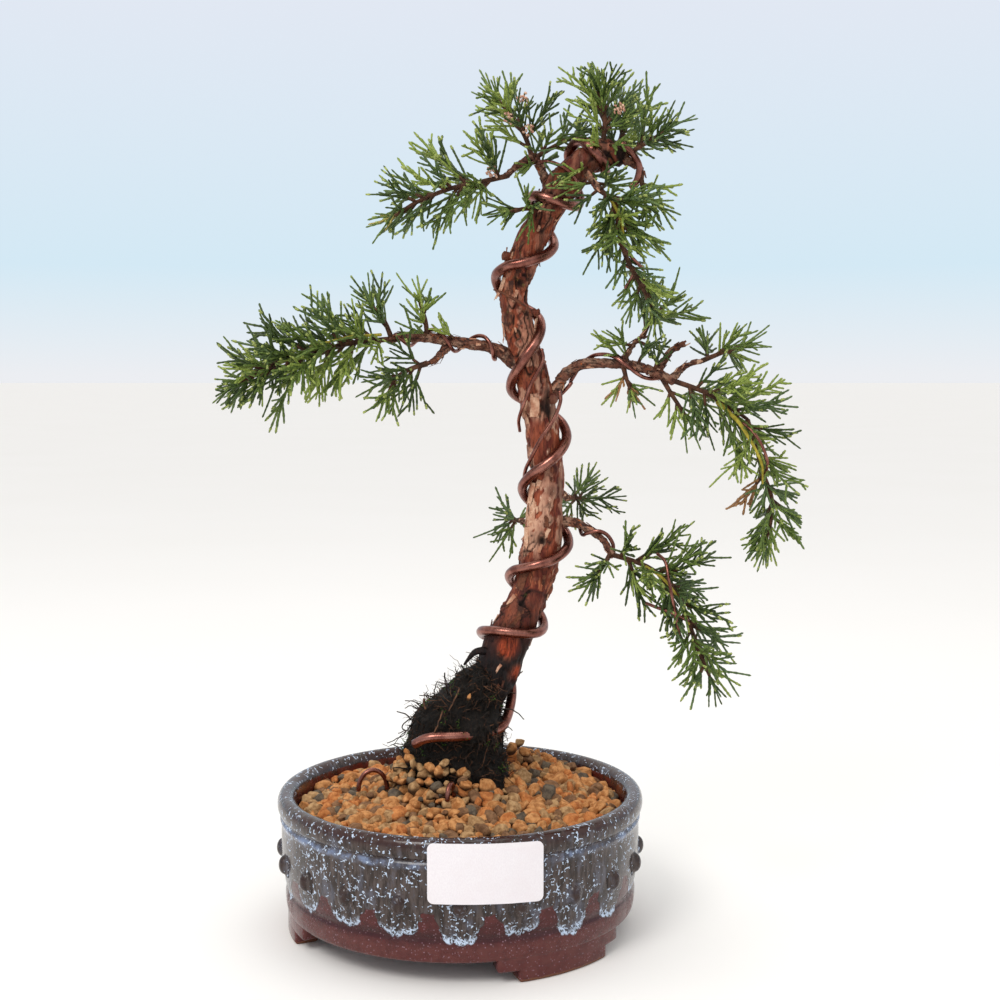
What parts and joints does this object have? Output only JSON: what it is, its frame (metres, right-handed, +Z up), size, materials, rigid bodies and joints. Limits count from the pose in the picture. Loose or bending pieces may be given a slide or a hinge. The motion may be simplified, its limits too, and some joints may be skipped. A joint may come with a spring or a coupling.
{
  "type": "juniper bonsai in a round glazed pot",
  "caption": "Small wired juniper tree with a leaning trunk and drooping foliage, in a round three-footed glazed pot of gravel.",
  "frame": {"origin": "middle of the whole plant's footprint, at table height, under the pot's feet; the pot's axis lies 19.4 mm to the left of it, because the tree leans to the right", "axes": "+Z up the tree, +X towards the side it leans to, -Y towards the front with the label"},
  "size_m": [0.2126, 0.1396, 0.3184],
  "materials": {
    "glaze": "glossy mottled blue-grey over oxblood",
    "paper": "plain white sticker",
    "gravel": "rough ochre grains",
    "roots": "dark fibrous roots with moss",
    "bark": "flaking red-brown bark",
    "wire": "satin copper-brown",
    "foliage": "matt green scale leaves"
  },
  "bodies": {
    "root": {"bough_back": "bark", "bough_back_left": "bark", "bough_droop": "bark", "bough_droop_side": "bark", "bough_left": "bark", "bough_left_fork": "bark", "bough_lower": "bark", "bough_right": "bark", "bough_right_snag": "bark", "bough_right_top": "bark", "bough_right_upper": "bark", "bough_top": "bark", "bough_top_outer": "bark", "foliage_apex_back": "foliage", "foliage_apex_right": "foliage", "foliage_apex_top": "foliage", "foliage_back_left": "foliage", "foliage_back_right": "foliage", "foliage_droop_lower": "foliage", "foliage_droop_side": "foliage", "foliage_droop_upper": "foliage", "foliage_left_hanging": "foliage", "foliage_left_inner": "foliage", "foliage_left_outer": "foliage", "foliage_left_top": "foliage", "foliage_lower_inner": "foliage", "foliage_lower_main": "foliage", "foliage_lower_tip": "foliage", "foliage_right_inner": "foliage", "foliage_right_lower": "foliage", "foliage_right_main": "foliage", "foliage_right_near": "foliage", "foliage_right_tip": "foliage", "foliage_right_top": "foliage", "foliage_right_under": "foliage", "foliage_top_high": "foliage", "foliage_top_inner": "foliage", "foliage_top_low": "foliage", "foliage_trunk_sprig": "foliage", "label": "paper", "pot": "glaze", "root_mass": "roots", "soil": "gravel", "trunk": "bark", "wire_left": "wire", "wire_lower": "wire", "wire_right": "wire", "wire_tie_front": "wire", "wire_tie_left": "wire", "wire_trunk": "wire"}
  },
  "joints": []
}
